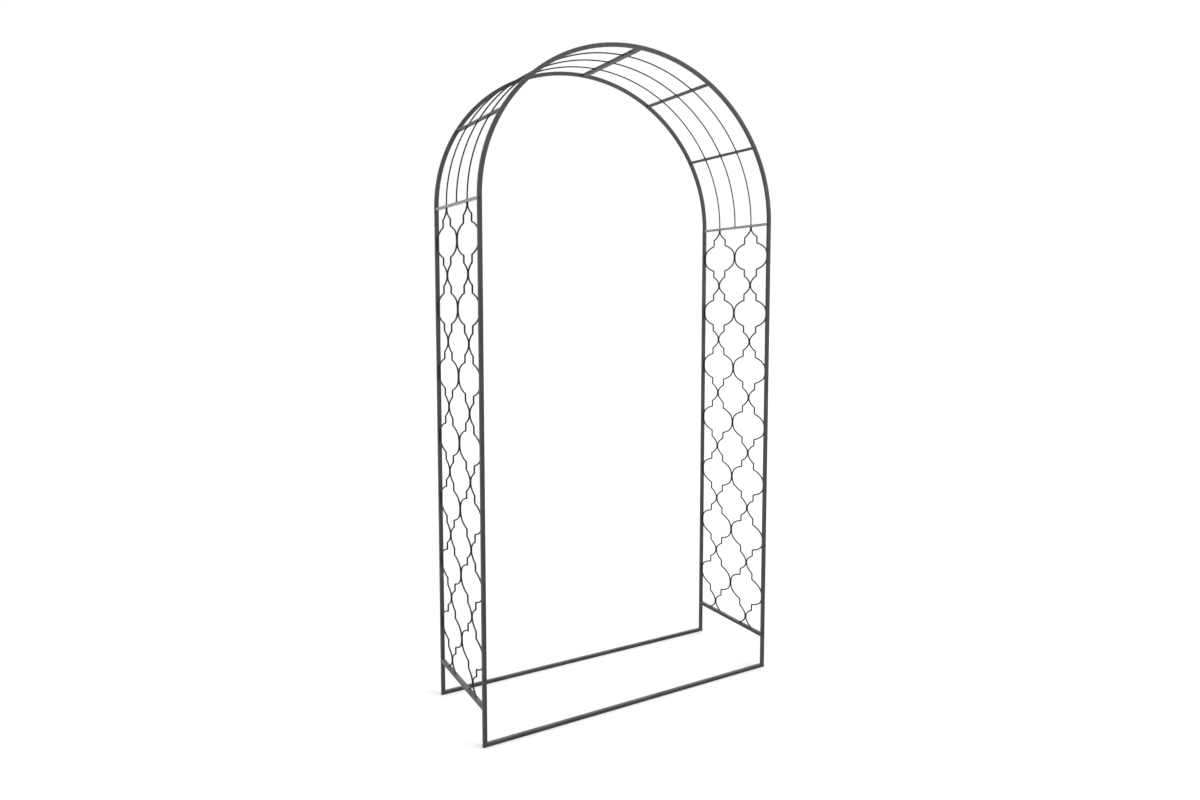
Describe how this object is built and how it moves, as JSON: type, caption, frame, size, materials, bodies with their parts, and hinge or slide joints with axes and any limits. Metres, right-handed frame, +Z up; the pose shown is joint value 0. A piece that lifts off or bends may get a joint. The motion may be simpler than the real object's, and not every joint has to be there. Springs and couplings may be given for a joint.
{
  "type": "garden trellis arch",
  "caption": "Free-standing round-topped metal garden arch with lantern-pattern wire lattice sides and a ribbed half-round roof for climbing plants.",
  "frame": {"origin": "centre of the ground footprint, on the undersides of the ground bars", "axes": "+Z up; X across the passage, from the left side panel (-X) to the right (+X); Y through the passage, from front (-Y) to rear (+Y)"},
  "size_m": [1.2, 0.5256, 2.5],
  "materials": {
    "powder_coated_steel": "satin anthracite powder coat on square steel tube",
    "powder_coated_wire": "satin anthracite powder coat on bent round steel wire",
    "zinc_plated_steel": "zinc plated, dull",
    "blackened_screws": "black coated screws",
    "black_polyethylene": "matt moulded"
  },
  "bodies": {
    "root": {"left_front_leg": "powder_coated_steel", "left_rear_leg": "powder_coated_steel", "right_front_leg": "powder_coated_steel", "right_rear_leg": "powder_coated_steel", "left_bottom_bar": "powder_coated_steel", "right_bottom_bar": "powder_coated_steel", "left_spring_bar": "powder_coated_steel", "right_spring_bar": "powder_coated_steel", "left_lattice_wire_1": "powder_coated_wire", "left_lattice_wire_2": "powder_coated_wire", "left_lattice_wire_3": "powder_coated_wire", "left_lattice_wire_4": "powder_coated_wire", "right_lattice_wire_1": "powder_coated_wire", "right_lattice_wire_2": "powder_coated_wire", "right_lattice_wire_3": "powder_coated_wire", "right_lattice_wire_4": "powder_coated_wire", "left_front_hoop": "powder_coated_steel", "left_rear_hoop": "powder_coated_steel", "right_front_hoop": "powder_coated_steel", "right_rear_hoop": "powder_coated_steel", "left_low_crossbar": "powder_coated_steel", "left_high_crossbar": "powder_coated_steel", "right_low_crossbar": "powder_coated_steel", "right_high_crossbar": "powder_coated_steel", "left_apex_bar": "powder_coated_steel", "right_apex_bar": "powder_coated_steel", "left_front_roof_wire": "powder_coated_wire", "left_middle_roof_wire": "powder_coated_wire", "left_rear_roof_wire": "powder_coated_wire", "right_front_roof_wire": "powder_coated_wire", "right_middle_roof_wire": "powder_coated_wire", "right_rear_roof_wire": "powder_coated_wire", "left_front_spigot": "zinc_plated_steel", "left_rear_spigot": "zinc_plated_steel", "right_front_spigot": "zinc_plated_steel", "right_rear_spigot": "zinc_plated_steel", "front_ground_bar": "powder_coated_steel", "rear_ground_bar": "powder_coated_steel", "left_front_foot_spigot": "zinc_plated_steel", "left_rear_foot_spigot": "zinc_plated_steel", "right_front_foot_spigot": "zinc_plated_steel", "right_rear_foot_spigot": "zinc_plated_steel", "ground_bar_plugs": "black_polyethylene", "spring_bar_inserts": "zinc_plated_steel", "spring_bar_screws": "blackened_screws", "spigot_screws": "blackened_screws", "apex_bolts": "blackened_screws", "apex_nuts": "blackened_screws"}
  },
  "joints": []
}
